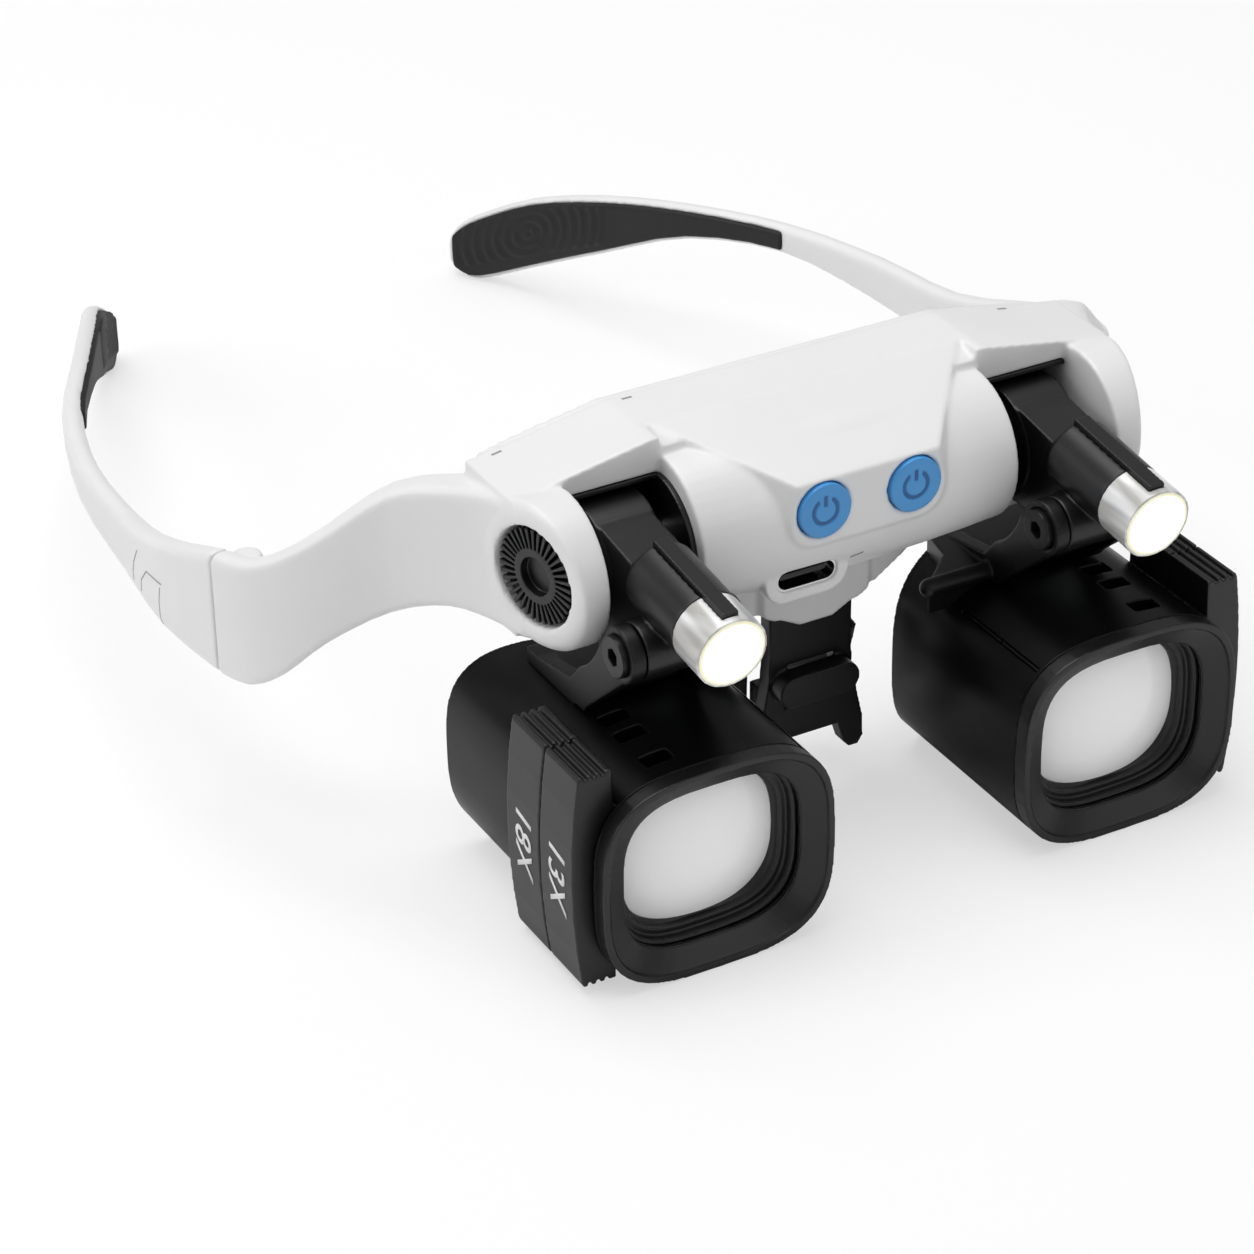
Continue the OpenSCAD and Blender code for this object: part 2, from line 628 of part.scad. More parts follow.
module lamp_led(s) color("lightyellow") about_origin() at_axis(s) lamp_frame() {
    translate([0, 0, lamp_head_l - 1]) cylinder(r = 3, h = 3);
    translate([0, 0, lamp_head_l - 1.6]) cylinder(r = 1.6, h = 0.6);
}

module pivot_screw(s) color("dimgray") about_origin() at_axis(s) translate([0, hub_y, hub_z]) difference() {
    union() {
        rod_x(-ear_out, ear_out, pivot_d / 2);
        rod_x(-ear_out - 0.8, -ear_out + 0.9, pivot_head_d / 2);
        rod_x(ear_out - 0.9, ear_out + 0.5, pivot_head_d / 2);
    }
    rod_x(-ear_out - 1, -ear_out + 0.7, 1.25, $fn = 6);
}

// Ears round the hub, a saddle plate on the barrel and a curled lip at its nose side
module barrel_bracket(s) color("black") about_origin() at_axis(s) difference() {
    union() {
        for (t = [-1, 1]) side(t) {
            translate([0, hub_y, hub_z]) rod_x(ear_in, ear_out, hub_d / 2);
            along_x(ear_in, ear_out) polygon([
                [hub_y - 1.2, hub_z - hub_d / 2 + 0.2], [hub_y + 2.7, hub_z + 2.6], [-4.2, barrel_top + 3.4],
                [4.8, barrel_top + 1.8], [4.8, barrel_top], [-7.4, barrel_top], [-8.4, barrel_top + 1.2]]);
        }
        side(s) mirror([1, 0, 0]) {
            translate([0, 0, barrel_top - 3]) linear_extrude(4.8) polygon([
                [-ear_out, -4.9], [lip_x, -4.9], [lip_x - 2.5, -2.6], [11.6, 0.6], [10.4, 6.4], [-ear_out, 7.8]]);
            translate([0, -5.2, barrel_top + 1.2]) {
                rod_x(-ear_out, lip_x, lip_r);
                translate([lip_x, 0, 0]) sphere(r = lip_r);
            }
        }
    }
    translate([0, 0, barrel_z]) along_y(-barrel_front, barrel_rear) polygon(squircle(barrel_w, barrel_h));
    for (t = [-1, 1]) translate([t * ear_out, hub_y, hub_z]) rod_x(-0.9, 0.9, pivot_head_d / 2);
    translate([0, hub_y, hub_z]) rod_x(-9, 9, pivot_d / 2);
    rod_x(-ear_out - 1, ear_out + 1, flip_room);
}

// Barrel: a rounded square tube with an oblique rear end, and a bay for two lens cassettes
module barrel(s) color("black") about_origin() at_axis(s) side(s) translate([0, 0, barrel_z]) difference() {
    along_y(-barrel_front, barrel_rear) polygon(squircle(barrel_w, barrel_h));
    along_y(slot_y1 - 1, barrel_rear + 1) polygon(squircle(barrel_w - 4.4, barrel_h - 4.4));
    along_y(-barrel_front - 1, slot_y0 + 1) polygon(squircle(opening_w, opening_h));
    box([-slot_in, slot_y0, -cassette_h / 2 - fit], [barrel_w, slot_y1, cassette_h / 2 + fit]);
    box([barrel_w / 2 - 3.2, slot_y0, -barrel_h], [barrel_w, slot_y1, barrel_h]);
    translate([-barrel_w / 2, rear_inner, 0]) rotate([0, 0, 18])
        box([-20, 0, -barrel_h], [2 * barrel_w, barrel_front, barrel_h]);
    for (y = latch_rows) box([3.5, y, barrel_h / 2 - 4], [7.5, y + 2.6, barrel_h / 2 + 1]);
}

// The rim's face falls in like a funnel to the front opening
function rim_ring(y, w, h) = [for (p = squircle(w, h)) [p.x, y, p.y]];

module barrel_rim(s) color("black") about_origin() at_axis(s) translate([0, 0, barrel_z])
    difference() {
        along_y(-barrel_front - bezel_t, -barrel_front) polygon(squircle(barrel_w, barrel_h));
        loft([
            rim_ring(-barrel_front - bezel_t - 1, barrel_w - rim_edge, barrel_h - rim_edge),
            rim_ring(-barrel_front - bezel_t + 0.3, barrel_w - rim_edge, barrel_h - rim_edge),
            rim_ring(-barrel_front - bezel_t + rim_deep, opening_w, opening_h),
            rim_ring(-barrel_front + 1, opening_w, opening_h)]);
    }

// Cassette: a stepped frame that slides in from the outer side, with a grooved grip head
module cassette(s, y0) color("black") about_origin() at_axis(s) side(s) translate([0, y0, barrel_z])
    difference() {
        union() {
            box([-cassette_in, 0, -cassette_h / 2], [barrel_w / 2 - 3, cassette_t, cassette_h / 2]);
            along_y(0, cassette_t) polygon(concat(
                [[barrel_w / 2 - 3.2, head_low], [barrel_w / 2 - 3.2, head_top]],
                [for (i = [0 : 6]) [head_out - 1.2 * pow(abs(i - 3) / 3, 2), head_top + (head_low - head_top) * i / 6]]));
        }
        along_y(-1, 1.6) polygon(squircle(step_w, step_h));
        along_y(-1, 2.8) polygon(squircle(lens_w + 1, lens_h + 1));
        along_y(-1, cassette_t / 2 + 2.3) polygon(squircle(lens_w + 0.04, lens_h + 0.04));
        along_y(-1, cassette_t + 1) polygon(squircle(lens_w - 1.6, lens_h - 1.6));
        for (k = [0 : 3]) translate([barrel_w / 2 - 2.2 + 1.2 * k, -1, 0]) {
            translate([0, 0, head_top - 0.5]) cube([0.6, cassette_t + 2, 1.6]);
            translate([0, 0, head_low - 1]) cube([0.6, cassette_t + 2, 1.5]);
        }
    }

// Biconvex lens with a rounded square outline, held by the cassette's inner step
module lens(s, y0, bulge) color("lightcyan", 0.4) about_origin() at_axis(s)
    translate([0, y0 + cassette_t / 2, barrel_z]) intersection() {
        along_y(-lens_half, lens_half) polygon(squircle(lens_w, lens_h));
        lens_bulges(bulge);
    }

module lens_bulges(bulge) intersection() {
    translate([0, bulge - lens_half, 0]) sphere(r = bulge, $fn = 96);
    translate([0, lens_half - bulge, 0]) sphere(r = bulge, $fn = 96);
}

module temple_arm(s) color("white") about_origin() side(s) {
    difference() {
        strip(arm_curve, 1.2);
        strip(arm_curve, 0.3, grip_first, grip_last, d0 = -grip_t, over = 1, rim = 0.9);
        for (z = [hinge_low + 1.1, hinge_top - 4.7])
            translate([pin_x, seam_y, z]) cylinder(r = leaf_r + seam_gap, h = 3.6);
    }
    hinge_arm();
}

module hinge_arm() difference() {
    translate([pin_x, seam_y, hinge_low + 4.7]) {
        cylinder(r = leaf_r, h = temple_h - 9.4);
        box([0, 0.8, 0], [2.6, 5, temple_h - 9.4]);
    }
    translate([pin_x, seam_y, hinge_low]) cylinder(r = pin_r + run_gap, h = temple_h);
}

// Rubber inlay in the inner face of the arm, from its neck to its tip
module temple_grip(s) color("black") about_origin() side(s)
    strip(arm_curve, 0.3, grip_first, grip_last, d0 = -grip_t, over = 0.4, rim = 0.92);

front_shell();
rear_cover();
cover_screws();
battery_cell();
circuit_board();
tact_switches();
charge_board();
usb_shell();
usb_tongue();
power_button(-1);  // power_button_left
power_button(1);  // power_button_right
nose_bridge();
nose_pads();
hinge_pins();
slide_rod(-1);  // slide_rod_left
slide_rod(1);  // slide_rod_right
recess_liner(-1);  // recess_liner_left
recess_liner(1);  // recess_liner_right
thumb_dial(-1);  // thumb_dial_left
thumb_dial(1);  // thumb_dial_right
slide_sleeve(-1);  // slide_sleeve_left
slide_sleeve(1);  // slide_sleeve_right
lamp_arm(-1);  // lamp_arm_left
lamp_arm(1);  // lamp_arm_right
wire_cover(-1);  // wire_cover_left
wire_cover(1);  // wire_cover_right
lamp_head(-1);  // lamp_head_left
lamp_head(1);  // lamp_head_right
lamp_lens(-1);  // lamp_lens_left
lamp_lens(1);  // lamp_lens_right
lamp_led(-1);  // lamp_led_left
lamp_led(1);  // lamp_led_right
pivot_screw(-1);  // pivot_screw_left
pivot_screw(1);  // pivot_screw_right
barrel_bracket(-1);  // barrel_bracket_left
barrel_bracket(1);  // barrel_bracket_right
barrel(-1);  // barrel_left
barrel(1);  // barrel_right
barrel_rim(-1);  // barrel_rim_left
barrel_rim(1);  // barrel_rim_right
cassette(-1, cassette_rear);  // cassette_18_left
cassette(1, cassette_rear);  // cassette_18_right
lens(-1, cassette_rear, 20.5);  // lens_18_left
lens(1, cassette_rear, 20.5);  // lens_18_right
cassette(-1, cassette_front);  // cassette_13_left
cassette(1, cassette_front);  // cassette_13_right
lens(-1, cassette_front, 24);  // lens_13_left
lens(1, cassette_front, 24);  // lens_13_right
temple_arm(-1);  // temple_arm_left
temple_arm(1);  // temple_arm_right
temple_grip(-1);  // temple_grip_left
temple_grip(1);  // temple_grip_right
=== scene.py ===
"""Looks of the lighted magnifier glasses: finishes, rounded mouldings, signs, lamps and studio."""
import json
import math

import bmesh
import bpy
from mathutils import Matrix, Vector
from mathutils.bvhtree import BVHTree


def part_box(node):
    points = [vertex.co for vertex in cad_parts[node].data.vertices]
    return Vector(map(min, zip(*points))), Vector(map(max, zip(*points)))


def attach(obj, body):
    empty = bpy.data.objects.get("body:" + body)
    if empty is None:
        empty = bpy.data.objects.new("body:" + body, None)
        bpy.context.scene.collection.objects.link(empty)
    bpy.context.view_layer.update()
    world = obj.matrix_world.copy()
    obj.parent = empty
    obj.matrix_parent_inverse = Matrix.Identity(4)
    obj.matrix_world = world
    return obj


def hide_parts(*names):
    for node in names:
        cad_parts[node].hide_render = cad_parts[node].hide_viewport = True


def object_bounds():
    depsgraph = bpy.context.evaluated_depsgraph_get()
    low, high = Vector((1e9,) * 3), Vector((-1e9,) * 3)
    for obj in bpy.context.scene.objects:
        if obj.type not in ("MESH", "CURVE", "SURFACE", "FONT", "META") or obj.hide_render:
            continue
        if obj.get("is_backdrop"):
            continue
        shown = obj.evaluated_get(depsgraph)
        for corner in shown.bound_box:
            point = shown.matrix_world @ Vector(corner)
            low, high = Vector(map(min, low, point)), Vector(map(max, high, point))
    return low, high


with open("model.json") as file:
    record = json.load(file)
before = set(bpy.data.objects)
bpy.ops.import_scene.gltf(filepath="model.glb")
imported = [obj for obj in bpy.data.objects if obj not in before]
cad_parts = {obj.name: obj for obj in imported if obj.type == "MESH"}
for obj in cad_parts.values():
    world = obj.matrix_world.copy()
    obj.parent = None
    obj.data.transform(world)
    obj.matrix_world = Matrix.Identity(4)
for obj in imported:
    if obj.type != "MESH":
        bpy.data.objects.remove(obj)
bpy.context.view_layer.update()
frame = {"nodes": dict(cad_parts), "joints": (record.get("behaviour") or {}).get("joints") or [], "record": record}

# Camera
# The picture was taken from the wearer's front right and above, with a long lens, so the near
# barrel is only a little larger than the far one.
MM = 0.001
look_at = Vector((-21.74, -57.35, 26.35)) * MM
azimuth, elevation, roll = (math.radians(a) for a in (-28.541, 30.805, -1.017))
stand_back = 522.1 * MM
forward = math.cos(elevation)
back = Vector((math.sin(azimuth) * forward, -math.cos(azimuth) * forward, math.sin(elevation)))
level = Vector((math.cos(azimuth), math.sin(azimuth), 0))
right = level * math.cos(roll) + back.cross(level) * math.sin(roll)
up = back.cross(right)
camera = bpy.data.objects.new("camera", bpy.data.cameras.new("camera"))
camera.data.lens = 113.93
camera.data.sensor_width = 36
camera.data.clip_start = 0.01
camera.matrix_world = Matrix((right, up, back)).transposed().to_4x4()
camera.location = look_at + back * stand_back
bpy.context.scene.collection.objects.link(camera)
bpy.context.scene.camera = camera


# Studio floor
# A seamless sheet of matt white card under the object. It keeps the soft shadow, and half of what
# the camera sees of it is plain white, so that it comes out as clean as in the photo.
def linear(hex_colour):
    """An sRGB hex colour as the linear colour that the shader works in."""
    values = [int(hex_colour[i:i + 2], 16) / 255 for i in (1, 3, 5)]
    return tuple(v / 12.92 if v <= 0.04045 else ((v + 0.055) / 1.055) ** 2.4 for v in values) + (1,)


def add(tree, kind, settings=None, links=None):
    """Adds a shader node. Settings name its sockets or its properties; links feed its sockets."""
    node = tree.nodes.new(kind)
    for key, value in (settings or {}).items():
        if isinstance(key, int) or key in node.inputs:
            node.inputs[key].default_value = value
        else:
            setattr(node, key, value)
    for key, source in (links or {}).items():
        tree.links.new(source, node.inputs[key])
    return node


def blank(name):
    """A new material with an empty tree, and the output that its surface goes to."""
    made = bpy.data.materials.new(name)
    made.use_nodes = True
    made.node_tree.nodes.clear()
    return made, made.node_tree, add(made.node_tree, "ShaderNodeOutputMaterial")


def clean_rays(tree):
    """Rays from the camera and through glass, which see the clean white background."""
    rays = add(tree, "ShaderNodeLightPath")
    return add(tree, "ShaderNodeMath", {"operation": "MAXIMUM"},
               {0: rays.outputs["Is Camera Ray"], 1: rays.outputs["Is Transmission Ray"]})


def solid(name, points, faces, coat):
    """A mesh object of the given points and faces, in the scene and with its finish."""
    mesh = bpy.data.meshes.new(name)
    mesh.from_pydata(points, [], faces)
    mesh.materials.append(coat)
    piece = bpy.data.objects.new(name, mesh)
    bpy.context.scene.collection.objects.link(piece)
    return piece


card_strength, card_share, reach = 1.1, 0.5, 4.0
white_card, tree, output = blank("matt_white_card")
shadowed = add(tree, "ShaderNodeBsdfDiffuse", {"Color": linear("#F4F4F4")})
clean = add(tree, "ShaderNodeEmission", {"Color": (1, 1, 1, 1), "Strength": card_strength})
share = add(tree, "ShaderNodeMath", {"operation": "MULTIPLY", 1: card_share},
            {0: clean_rays(tree).outputs[0]})
card = add(tree, "ShaderNodeMixShader", {},
           {0: share.outputs[0], 1: shadowed.outputs[0], 2: clean.outputs[0]})
tree.links.new(card.outputs[0], output.inputs["Surface"])
corners = [(-reach, -reach, 0), (reach, -reach, 0), (reach, reach, 0), (-reach, reach, 0)]
solid("floor", corners, [(0, 1, 2, 3)], white_card)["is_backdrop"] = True

# Studio light
# A broad white sky, a large softbox overhead, one at the left rear that draws the long highlight
# down each black barrel, and a weak one in front.
world = bpy.data.worlds.new("studio_sky")
bpy.context.scene.world = world
world.use_nodes = True
sky = world.node_tree
sky.nodes.clear()
direction = add(sky, "ShaderNodeSeparateXYZ", {},
                {0: add(sky, "ShaderNodeTexCoord").outputs["Generated"]})
horizon, zenith = 0.18, 0.55
height = add(sky, "ShaderNodeMapRange",
             {"From Min": 0.0, "From Max": 1.0, "To Min": horizon, "To Max": zenith},
             {"Value": direction.outputs["Z"]})
ambient = add(sky, "ShaderNodeBackground", {"Color": (1, 1, 1, 1)}, {"Strength": height.outputs[0]})
clean = add(sky, "ShaderNodeBackground", {"Color": (1, 1, 1, 1), "Strength": 1.0})
seen = add(sky, "ShaderNodeMixShader", {},
           {0: clean_rays(sky).outputs[0], 1: ambient.outputs[0], 2: clean.outputs[0]})
add(sky, "ShaderNodeOutputWorld", {}, {"Surface": seen.outputs[0]})
aimed_at = Vector((0, -0.03, 0.03))
for name, place, size, watts in (
        ("overhead_softbox", (-0.10, 0.10, 0.9), 0.7, 4.6),
        ("left_rear_softbox", (-0.80, 0.20, 0.45), 0.4, 1.4),
        ("front_softbox", (0.35, -0.9, 0.5), 0.6, 0.9)):
    lamp = bpy.data.lights.new(name, "AREA")
    lamp.size = size
    lamp.energy = watts
    softbox = bpy.data.objects.new(name, lamp)
    softbox.location = place
    softbox.rotation_euler = (aimed_at - Vector(place)).to_track_quat("-Z", "Y").to_euler()
    bpy.context.scene.collection.objects.link(softbox)


# Housing and rear cover
# Injection-moulded white ABS with a satin, finely spark-eroded face, and every outer edge
# rounded over. The rear cover closes it behind with four screws.
NODES = frame["nodes"]
BODY = {node: body for body, nodes in frame["record"]["behaviour"]["bodies"].items()
        for node in nodes}


def grained(name, colour, rough, spread=0.05, grain_mm=0.4, bump=0.08, darker=0.96, **sockets):
    """A plastic or metal finish: an even colour with a faint mottle 9 mm across, and a fine grain,
    drawn a little coarse so that it shows, which softens the shine."""
    coat, tree, output = blank(name)
    place = add(tree, "ShaderNodeTexCoord")
    grain = add(tree, "ShaderNodeTexNoise", {"Scale": 1 / (grain_mm * MM), "Detail": 2.0},
                {"Vector": place.outputs["Object"]})
    grain_depth, mottle_size = 0.05 * MM, 9 * MM
    relief = add(tree, "ShaderNodeBump", {"Strength": bump, "Distance": grain_depth},
                 {"Height": grain.outputs["Fac"]})
    mottle = add(tree, "ShaderNodeTexNoise", {"Scale": 1 / mottle_size, "Detail": 3.0},
                 {"Vector": place.outputs["Object"]})
    base = linear(colour)
    tint = add(tree, "ShaderNodeMix",
               {"data_type": "RGBA", 6: tuple(c * darker for c in base[:3]) + (1,), 7: base},
               {"Factor": mottle.outputs["Fac"]})
    gloss = add(tree, "ShaderNodeMapRange", {"To Min": rough - spread, "To Max": rough + spread},
                {"Value": mottle.outputs["Fac"]})
    shader = add(tree, "ShaderNodeBsdfPrincipled", sockets,
                 {"Base Color": tint.outputs[2], "Roughness": gloss.outputs[0],
                  "Normal": relief.outputs[0]})
    tree.links.new(shader.outputs[0], output.inputs["Surface"])
    return coat


def dress(node, coat):
    """Gives a CAD node its finish."""
    NODES[node].data.materials.clear()
    NODES[node].data.materials.append(coat)


def adopt(piece, node, stands_for=True):
    """Makes a piece move with a CAD node's body, and lets it stand for it."""
    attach(piece, BODY[node])
    if stands_for:
        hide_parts(node)
    return piece


def rounded(node, coat, voxel_mm, passes, keep):
    """Stands for a CAD node with its edges rounded as a mould rounds them: the shape is rebuilt
    on a fine grid, eased, and thinned out."""
    piece = bpy.data.objects.new(f"{node}_moulding", NODES[node].data.copy())
    bpy.context.scene.collection.objects.link(piece)
    for kind, settings in (("REMESH", {"mode": "VOXEL", "voxel_size": voxel_mm * MM}),
                           ("SMOOTH", {"factor": 0.5, "iterations": passes}),
                           ("DECIMATE", {"ratio": keep})):
        step = piece.modifiers.new(kind.lower(), kind)
        for key, value in settings.items():
            setattr(step, key, value)
    eased = piece.evaluated_get(bpy.context.evaluated_depsgraph_get())
    shaped = bpy.data.meshes.new_from_object(eased)
    piece.modifiers.clear()
    piece.data = shaped
    shaped.materials.clear()
    shaped.materials.append(coat)
    shaped.shade_smooth()
    return adopt(piece, node)


white_abs = grained("white_abs_satin", "#F1F1F1", 0.36, grain_mm=0.4, bump=0.05, IOR=1.52)
housing = rounded("front_shell", white_abs, voxel_mm=0.32, passes=4, keep=0.2)
rounded("rear_cover", white_abs, voxel_mm=0.35, passes=3, keep=0.2)

# Snap notches in the top edge, and the slit of the charging light
# Short marks sunk in the white moulding where the rear cover clips on, and a slit beside the port
# that the charging light shows through. Each is a thin grey film, the shade inside a groove.
SIDES = {"left": -1, "right": 1}
ROD = {side: Vector(next(joint["pos_m"] for joint in frame["joints"]
                         if joint["name"] == f"flip_up_{side}")) for side in SIDES}
ACROSS, BEHIND, ABOVE = Vector((1, 0, 0)), Vector((0, 1, 0)), Vector((0, 0, 1))
rod_line = (ROD["left"] + ROD["right"]) / 2
groove_shade = grained("shadow_in_a_groove", "#9C9C9C", 0.8, bump=0.02)
line_thick = 0.05 * MM


def draped(name, flat, onto, centre, reading, upward, outward, film, coat):
    """A thin film that follows a surface: the flat shape's x goes along reading and its y along
    upward, from centre, and each point drops onto the surface from outside."""
    surface = BVHTree.FromPolygons([v.co for v in onto.data.vertices],
                                   [p.vertices for p in onto.data.polygons])
    drop, proud = 10 * MM, 0.03 * MM
    for point in flat.verts:
        start = centre + reading * point.co.x + upward * point.co.y + outward * drop
        hit = surface.ray_cast(start, -outward)[0]
        point.co = (hit or start - outward * drop) + outward * proud
    bmesh.ops.recalc_face_normals(flat, faces=flat.faces)
    bmesh.ops.solidify(flat, geom=flat.faces, thickness=film)
    mesh = bpy.data.meshes.new(name)
    flat.to_mesh(mesh)
    flat.free()
    mesh.materials.append(coat)
    piece = bpy.data.objects.new(name, mesh)
    bpy.context.scene.collection.objects.link(piece)
    return piece


def strokes(routes, width, steps=12):
    """Flat strokes of one width along routes of (x, y) corners, cut short enough to bend."""
    flat = bmesh.new()
    for route in routes:
        for (x0, y0), (x1, y1) in zip(route, route[1:]):
            run = Vector((x1 - x0, y1 - y0))
            across = Vector((-run.y, run.x)).normalized() * width / 2
            rows = [[flat.verts.new((x0 + run.x * i / steps + k * across.x,
                                     y0 + run.y * i / steps + k * across.y, 0))
                     for k in (-1, 1)] for i in range(steps + 1)]
            for a, b in zip(rows, rows[1:]):
                flat.faces.new((a[0], b[0], b[1], a[1]))
    return flat


notch_half, notch_wide = 0.7 * MM, 0.4 * MM
notches_across, notch_behind, notch_above = (-40.7, -22.0, 35.0), 11.6, 14
for number, across_mm in enumerate(notches_across):
    line = strokes([[(-notch_half, 0), (notch_half, 0)]], notch_wide)
    centre = rod_line + Vector((across_mm, notch_behind, notch_above)) * MM
    notch = draped(f"snap_notch_{number}", line, housing, centre, ACROSS, BEHIND, ABOVE,
                   line_thick, groove_shade)
    adopt(notch, "front_shell", stands_for=False)
slit_half, slit_lean, slit_wide = 0.9 * MM, 0.15 * MM, 0.35 * MM
slit_centre = rod_line + Vector((-0.6, -9, -4.6)) * MM
line = strokes([[(-slit_half, -slit_lean), (slit_half, slit_lean)]], slit_wide)
slit = draped("charging_light_slit", line, housing, slit_centre, ACROSS, ABOVE, -BEHIND,
              line_thick, groove_shade)
adopt(slit, "front_shell", stands_for=False)

# Battery, boards, pins and screws inside the housing
# A foil pouch cell, two glass-fibre boards under green solder mask, black switches, and
# zinc-plated steel screws and pins, all closed in by the rear cover.
foil = grained("pouch_foil", "#BFC0C2", 0.35, grain_mm=0.8, bump=0.2, Metallic=1.0)
green_mask = grained("green_solder_mask", "#0E4A2B", 0.3, grain_mm=0.5, bump=0.05)
zinc = grained("zinc_plated_steel", "#B9BABC", 0.32, grain_mm=0.3, bump=0.08, Metallic=1.0)
black_abs = grained("black_abs_satin", "#101011", 0.36, grain_mm=0.25, bump=0.08, darker=0.8,
                    IOR=1.5)
dress("battery_cell", foil)
dress("circuit_board", green_mask)
dress("charge_board", green_mask)
dress("tact_switches", black_abs)
dress("cover_screws", zinc)
dress("hinge_pins", zinc)

# Charging port
# A drawn steel shell, nickel plated and bright, round a moulded black tongue, on the charging
# board.
nickel = grained("nickel_plate", "#C9C9CA", 0.2, grain_mm=0.3, bump=0.03, Metallic=1.0)
dress("usb_shell", nickel)
dress("usb_tongue", black_abs)

# Push buttons
# Caps moulded in glossy blue plastic, in round holes of the housing. A plain standby sign is sunk
# in each and drawn in a darker blue.
blue_cap = grained("blue_gloss_cap", "#4A9FE4", 0.25, grain_mm=0.5, bump=0.03, darker=0.95,
                   IOR=1.5)
sign_blue = grained("darker_blue_sign", "#22609F", 0.3, grain_mm=0.5, bump=0.03, darker=0.93,
                    IOR=1.5)


def band(steps, inner, outer, start, end):
    """Corners of a flat ring sector, the outer edge first and then back along the inner edge."""
    turns = [start + (end - start) * i / steps for i in range(steps + 1)]
    return ([(outer * math.cos(a), outer * math.sin(a)) for a in turns]
            + [(inner * math.cos(a), inner * math.sin(a)) for a in reversed(turns)])


def plate(name, outlines, lift, coat):
    """A thin solid from flat outlines, where lift turns (u, v, height) into a place."""
    points, faces = [], []
    for outline in outlines:
        first, count = len(points), len(outline)
        points += [lift(u, v, 1) for u, v in outline] + [lift(u, v, 0) for u, v in outline]
        for i in range(count):
            j = (i + 1) % count
            faces.append((first + i, first + j, first + count + j, first + count + i))
        for i in range(count // 2 - 1):
            quad = (i, i + 1, count - 2 - i, count - 1 - i)
            faces.append(tuple(first + k for k in reversed(quad)))
            faces.append(tuple(first + count + k for k in quad))
    piece = solid(name, points, faces, coat)
    facing = bmesh.new()
    facing.from_mesh(piece.data)
    bmesh.ops.recalc_face_normals(facing, faces=facing.faces)
    facing.to_mesh(piece.data)
    facing.free()
    return piece


sign_sunk, sign_thick = 0.12 * MM, 0.15 * MM
gap_angle = math.radians(27)
ring_inner, ring_outer = 1.53 * MM, 1.97 * MM
bar_half, bar_foot, bar_top = 0.22 * MM, 0.7 * MM, 2.15 * MM
for side in SIDES:
    node = f"power_button_{side}"
    rounded(node, blue_cap, voxel_mm=0.12, passes=3, keep=0.25)
    low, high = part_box(node)
    middle = (low + high) / 2
    ring = band(40, ring_inner, ring_outer, math.pi / 2 + gap_angle, math.pi * 5 / 2 - gap_angle)
    bar = [(-bar_half, bar_foot), (bar_half, bar_foot), (bar_half, bar_top), (-bar_half, bar_top)]
    sign = plate(f"standby_sign_{side}", [ring, bar],
                 lambda u, v, h: (middle.x + u, low.y + sign_sunk + sign_thick * (1 - h),
                                  middle.z + v), sign_blue)
    adopt(sign, node, stands_for=False)

# Nose piece
# One black nylon moulding under the housing, with two legs that spring a little, and a soft
# rubber pad pressed on each leg.
black_nylon = grained("black_nylon", "#0B0B0C", 0.40, grain_mm=0.3, bump=0.1, darker=0.8,
                      IOR=1.4)
rubber = grained("soft_rubber", "#0B0B0B", 0.6, grain_mm=0.5, bump=0.2, darker=0.7, IOR=1.52)
rounded("nose_bridge", black_nylon, voxel_mm=0.2, passes=4, keep=0.2)
rounded("nose_pads", rubber, voxel_mm=0.2, passes=6, keep=0.2)

# Slide rods, recess liners and sleeves
# A ground steel rod across each recess, in a black moulded lining. The nylon sleeve slides on the
# rod and carries the lamp arm.
ground_steel = grained("ground_steel", "#8C8C8E", 0.28, grain_mm=0.3, bump=0.05, Metallic=1.0)
for side in SIDES:
    dress(f"slide_rod_{side}", ground_steel)
    dress(f"slide_sleeve_{side}", black_nylon)
    rounded(f"recess_liner_{side}", black_abs, voxel_mm=0.15, passes=2, keep=0.3)

# Thumb dials
# Black moulded wheels with a ring of radial ribs on the face, each on a short axle in the cheek
# of the housing.
for side in SIDES:
    rounded(f"thumb_dial_{side}", black_abs, voxel_mm=0.09, passes=2, keep=0.3)

# Lamp arms
# One black moulding from the hinge knuckles forward to the lamp, with a narrow strip let into its
# top that covers the lamp's wires.
for side in SIDES:
    rounded(f"lamp_arm_{side}", black_abs, voxel_mm=0.18, passes=4, keep=0.2)
    rounded(f"wire_cover_{side}", black_abs, voxel_mm=0.1, passes=3, keep=0.3)

# Lamps
# A clear acrylic head, silvered inside by its reflector, with a bright domed window in a warm rim.
# Pale and dark streaks along its length are painted reflections, mixed into its colour.
reflection_streak_wide, reflection_streak_stretch = 2.2 * MM, (1.0, 0.12, 1.0)
acrylic_painted_reflections, tree, output = blank("acrylic_with_painted_reflections")
place = add(tree, "ShaderNodeTexCoord")
drawn = add(tree, "ShaderNodeMapping", {"Scale": reflection_streak_stretch},
            {"Vector": place.outputs["Object"]})
# Painted reflections: a stretched noise that mixes pale and darker grey streaks into the colour.
painted_reflection_streaks = add(tree, "ShaderNodeTexNoise", {"Scale": 1 / reflection_streak_wide, "Detail": 1.5},
              {"Vector": drawn.outputs[0]})
spread = add(tree, "ShaderNodeMapRange", {"From Min": 0.38, "From Max": 0.62},
             {"Value": painted_reflection_streaks.outputs["Fac"]})
painted_reflection_tint = add(tree, "ShaderNodeMix",
             {"data_type": "RGBA", 6: linear("#BDBCB8"), 7: linear("#FAFAFA")},
             {"Factor": spread.outputs[0]})
shader = add(tree, "ShaderNodeBsdfPrincipled",
             {"Roughness": 0.3, "Metallic": 0.15, "IOR": 1.49,
              "Coat Weight": 0.6, "Coat Roughness": 0.05},
             {"Base Color": painted_reflection_tint.outputs[2]})
tree.links.new(shader.outputs[0], output.inputs["Surface"])


